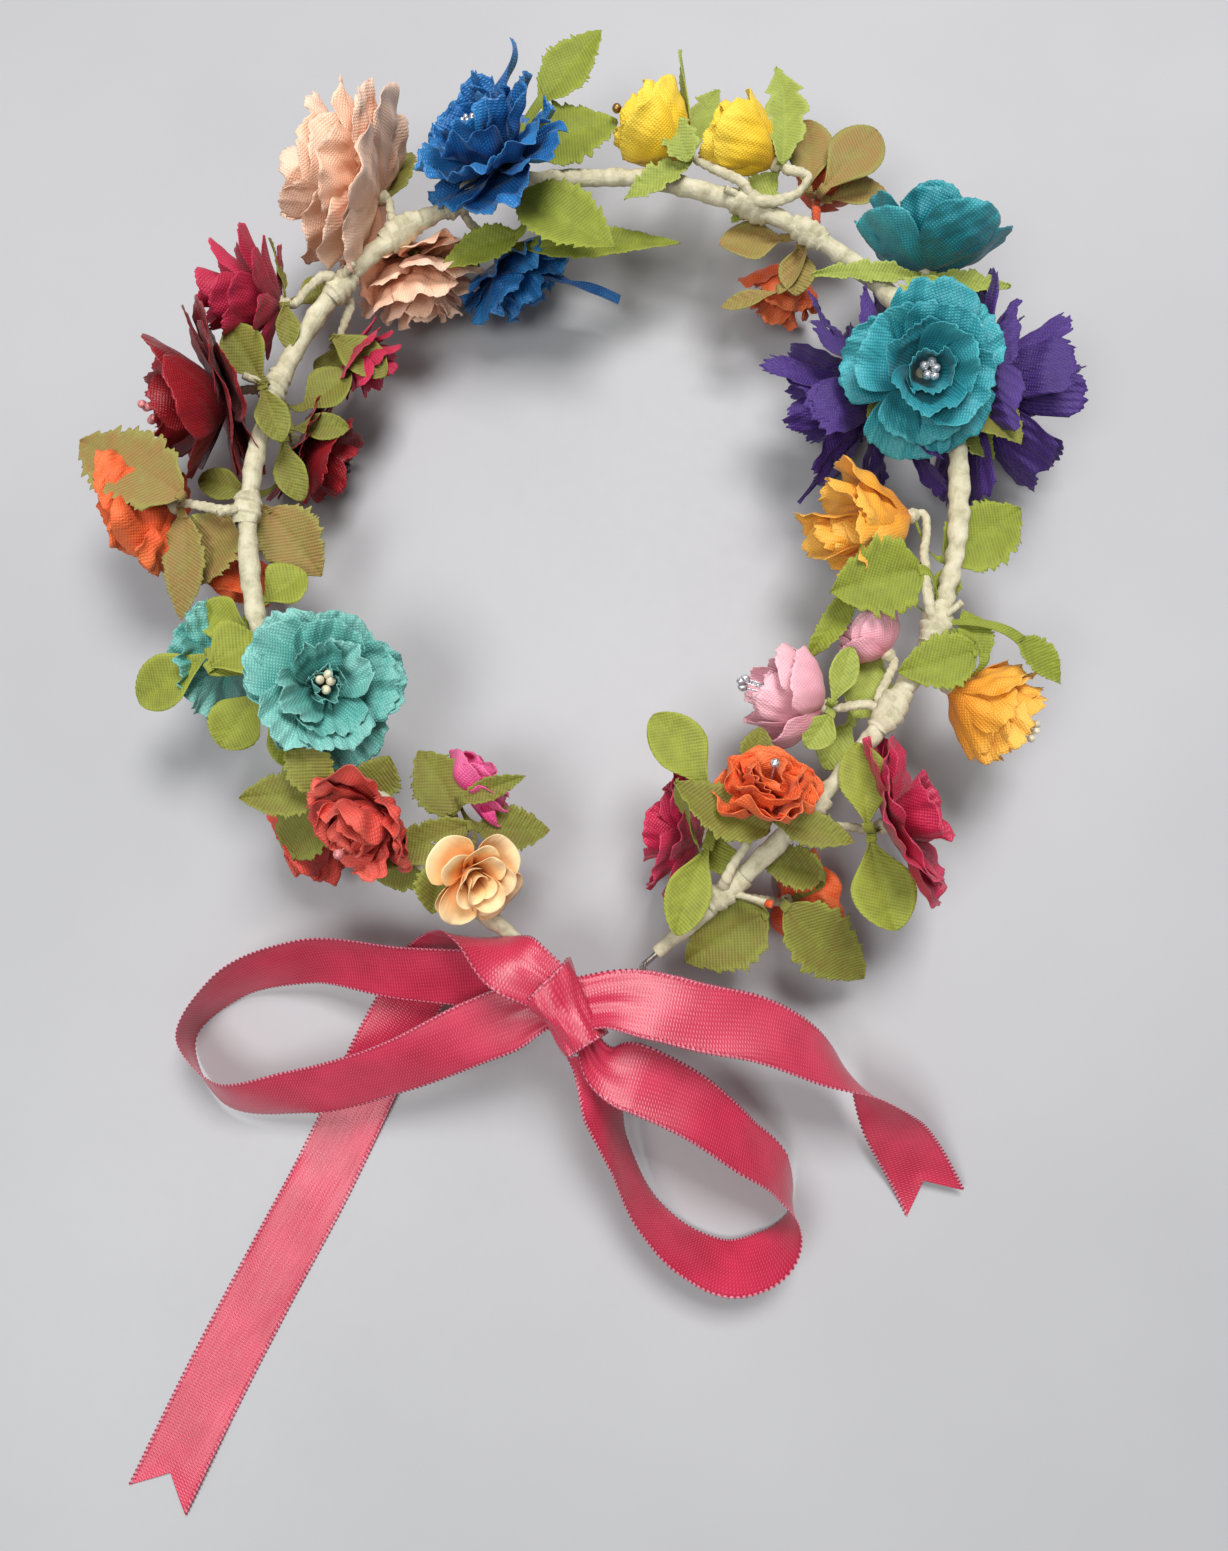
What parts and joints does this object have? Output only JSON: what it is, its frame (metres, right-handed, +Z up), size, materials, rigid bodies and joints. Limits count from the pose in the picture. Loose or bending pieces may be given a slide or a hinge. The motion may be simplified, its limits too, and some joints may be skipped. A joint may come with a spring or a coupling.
{
  "type": "flower crown",
  "caption": "Bendable wire head wreath of paired fabric flowers and leaves on a paper-taped ring, tied closed at the front with a satin ribbon bow.",
  "frame": {"origin": "centre of the head opening on the plane the crown lies on", "axes": "+Z up out of that plane, -Y towards the ribbon bow, +X towards the right-hand half of the ring seen from above with the bow nearest"},
  "size_m": [0.2438, 0.3699, 0.0636],
  "materials": {
    "core_wire": "bright drawn steel wire",
    "paper_tape": "matte cream crepe-paper tape, wound in overlapping turns",
    "leaf_fabric": "matte printed taffeta, olive to lime",
    "ribbon_satin": "raspberry-pink satin with picot edges",
    "cream_pink_petals": "woven petal fabric with a soft satin sheen",
    "coral_petals": "woven petal fabric with a soft satin sheen",
    "aqua_petals": "woven petal fabric with a soft satin sheen",
    "orange_petals": "woven petal fabric with a soft satin sheen",
    "crimson_petals": "woven petal fabric with a soft satin sheen",
    "cherry_petals": "woven petal fabric with a soft satin sheen",
    "peach_petals": "woven petal fabric with a soft satin sheen",
    "blue_petals": "woven petal fabric with a soft satin sheen",
    "yellow_petals": "woven petal fabric with a soft satin sheen",
    "vermilion_petals": "woven petal fabric with a soft satin sheen",
    "teal_petals": "woven petal fabric with a soft satin sheen",
    "purple_petals": "woven petal fabric with a soft satin sheen",
    "amber_petals": "woven petal fabric with a soft satin sheen",
    "pink_petals": "woven petal fabric with a soft satin sheen",
    "raspberry_petals": "woven petal fabric with a soft satin sheen",
    "tangerine_petals": "woven petal fabric with a soft satin sheen"
  },
  "bodies": {
    "root": {"ring_wire_left": "core_wire", "ring_tape_left": "paper_tape", "ribbon_knot": "ribbon_satin", "ribbon_band": "ribbon_satin", "ribbon_left_turn": "ribbon_satin"},
    "right_arc": {"ring_wire_right": "core_wire", "ring_tape_right": "paper_tape"},
    "cream_pink_pick": {"cream_pink_stem": "paper_tape", "cream_pink_flowers": "cream_pink_petals", "cream_pink_leaves": "leaf_fabric"},
    "coral_pick": {"coral_stem": "paper_tape", "coral_flowers": "coral_petals", "coral_leaves": "leaf_fabric"},
    "aqua_pick": {"aqua_stem": "paper_tape", "aqua_flowers": "aqua_petals", "aqua_leaves": "leaf_fabric"},
    "orange_pick": {"orange_stem": "paper_tape", "orange_flowers": "orange_petals", "orange_leaves": "leaf_fabric"},
    "crimson_pick": {"crimson_stem": "paper_tape", "crimson_flowers": "crimson_petals", "crimson_leaves": "leaf_fabric"},
    "cherry_pick": {"cherry_stem": "paper_tape", "cherry_flowers": "cherry_petals", "cherry_leaves": "leaf_fabric"},
    "peach_pick": {"peach_stem": "paper_tape", "peach_flowers": "peach_petals", "peach_leaves": "leaf_fabric"},
    "blue_pick": {"blue_stem": "paper_tape", "blue_flowers": "blue_petals", "blue_leaves": "leaf_fabric"},
    "yellow_pick": {"yellow_stem": "paper_tape", "yellow_flowers": "yellow_petals", "yellow_leaves": "leaf_fabric"},
    "vermilion_pick": {"vermilion_stem": "paper_tape", "vermilion_flowers": "vermilion_petals", "vermilion_leaves": "leaf_fabric"},
    "teal_pick": {"teal_stem": "paper_tape", "teal_flowers": "teal_petals", "teal_leaves": "leaf_fabric"},
    "purple_pick": {"purple_stem": "paper_tape", "purple_flowers": "purple_petals", "purple_leaves": "leaf_fabric"},
    "amber_pick": {"amber_stem": "paper_tape", "amber_flowers": "amber_petals", "amber_leaves": "leaf_fabric"},
    "pink_pick": {"pink_stem": "paper_tape", "pink_flowers": "pink_petals", "pink_leaves": "leaf_fabric"},
    "raspberry_pick": {"raspberry_stem": "paper_tape", "raspberry_flowers": "raspberry_petals", "raspberry_leaves": "leaf_fabric"},
    "tangerine_pick": {"tangerine_stem": "paper_tape", "tangerine_flowers": "tangerine_petals", "tangerine_leaves": "leaf_fabric"},
    "bow_left_loop": {"ribbon_left_loop": "ribbon_satin"},
    "bow_left_tail": {"ribbon_left_tail": "ribbon_satin"},
    "bow_right_loop": {"ribbon_right_loop": "ribbon_satin"},
    "bow_right_tail": {"ribbon_right_tail": "ribbon_satin"}
  },
  "joints": [
    {"name": "ring_flex", "type": "hinge", "parent": "root", "child": "right_arc", "pos_m": [-0.009, 0.102, 0.036], "axis": [0, 0, 1], "range_deg": [-1, 4], "stiffness_Nm_per_rad": 0.15},
    {"name": "cream_pink_roll", "type": "hinge", "parent": "root", "child": "cream_pink_pick", "pos_m": [-0.03785, -0.08153, 0.03258], "axis": [-0.7465, 0.6348, 0.1994], "range_deg": [-6, 6]},
    {"name": "coral_roll", "type": "hinge", "parent": "root", "child": "coral_pick", "pos_m": [-0.06248, -0.05839, 0.03561], "axis": [-0.6595, 0.7509, 0.0349], "range_deg": [-6, 6]},
    {"name": "aqua_roll", "type": "hinge", "parent": "root", "child": "aqua_pick", "pos_m": [-0.08097, -0.02999, 0.036], "axis": [-0.4136, 0.9104, 0], "range_deg": [-6, 6]},
    {"name": "orange_roll", "type": "hinge", "parent": "root", "child": "orange_pick", "pos_m": [-0.08888, 0.01094, 0.036], "axis": [0.0005, 1, 0], "range_deg": [-6, 6]},
    {"name": "crimson_roll", "type": "hinge", "parent": "root", "child": "crimson_pick", "pos_m": [-0.08374, 0.0424, 0.036], "axis": [0.3044, 0.9526, 0], "range_deg": [-6, 6]},
    {"name": "cherry_roll", "type": "hinge", "parent": "root", "child": "cherry_pick", "pos_m": [-0.06846, 0.07149, 0.036], "axis": [0.5876, 0.8091, 0], "range_deg": [-6, 6]},
    {"name": "peach_roll", "type": "hinge", "parent": "root", "child": "peach_pick", "pos_m": [-0.05289, 0.08689, 0.036], "axis": [0.8156, 0.5786, 0], "range_deg": [-6, 6]},
    {"name": "blue_roll", "type": "hinge", "parent": "root", "child": "blue_pick", "pos_m": [-0.0382, 0.09543, 0.036], "axis": [0.8779, 0.4788, 0], "range_deg": [-6, 6]},
    {"name": "yellow_roll", "type": "hinge", "parent": "right_arc", "child": "yellow_pick", "pos_m": [0.03741, 0.09424, 0.036], "axis": [0.9257, -0.3782, 0], "range_deg": [-6, 6]},
    {"name": "vermilion_roll", "type": "hinge", "parent": "right_arc", "child": "vermilion_pick", "pos_m": [0.05243, 0.08634, 0.036], "axis": [0.8365, -0.548, 0], "range_deg": [-6, 6]},
    {"name": "teal_roll", "type": "hinge", "parent": "right_arc", "child": "teal_pick", "pos_m": [0.08064, 0.05601, 0.036], "axis": [0.4143, -0.9101, 0], "range_deg": [-6, 6]},
    {"name": "purple_roll", "type": "hinge", "parent": "right_arc", "child": "purple_pick", "pos_m": [0.0855, 0.04289, 0.036], "axis": [0.2727, -0.9621, 0], "range_deg": [-6, 6]},
    {"name": "amber_roll", "type": "hinge", "parent": "right_arc", "child": "amber_pick", "pos_m": [0.0807, -0.01883, 0.036], "axis": [-0.4028, -0.9153, 0], "range_deg": [-6, 6]},
    {"name": "pink_roll", "type": "hinge", "parent": "right_arc", "child": "pink_pick", "pos_m": [0.0687, -0.04072, 0.03588], "axis": [-0.5617, -0.8273, -0.0129], "range_deg": [-6, 6]},
    {"name": "raspberry_roll", "type": "hinge", "parent": "right_arc", "child": "raspberry_pick", "pos_m": [0.04808, -0.06511, 0.03481], "axis": [-0.6893, -0.7178, -0.0981], "range_deg": [-6, 6]},
    {"name": "tangerine_roll", "type": "hinge", "parent": "right_arc", "child": "tangerine_pick", "pos_m": [0.02896, -0.08339, 0.02963], "axis": [-0.7208, -0.636, -0.2756], "range_deg": [-6, 6]},
    {"name": "left_loop_swing", "type": "hinge", "parent": "root", "child": "bow_left_loop", "pos_m": [-0.012, -0.107, 0.03], "axis": [0, 0, 1], "range_deg": [-1, 3]},
    {"name": "left_tail_swing", "type": "hinge", "parent": "root", "child": "bow_left_tail", "pos_m": [-0.05, -0.109, 0.009], "axis": [0, 0, 1], "range_deg": [-6, 6]},
    {"name": "right_loop_swing", "type": "hinge", "parent": "root", "child": "bow_right_loop", "pos_m": [-0.003, -0.121, 0.03], "axis": [0, 0, 1], "range_deg": [-4, 4]},
    {"name": "right_tail_swing", "type": "hinge", "parent": "root", "child": "bow_right_tail", "pos_m": [0, -0.107, 0.039], "axis": [0, 0, 1], "range_deg": [-6, 6]}
  ]
}
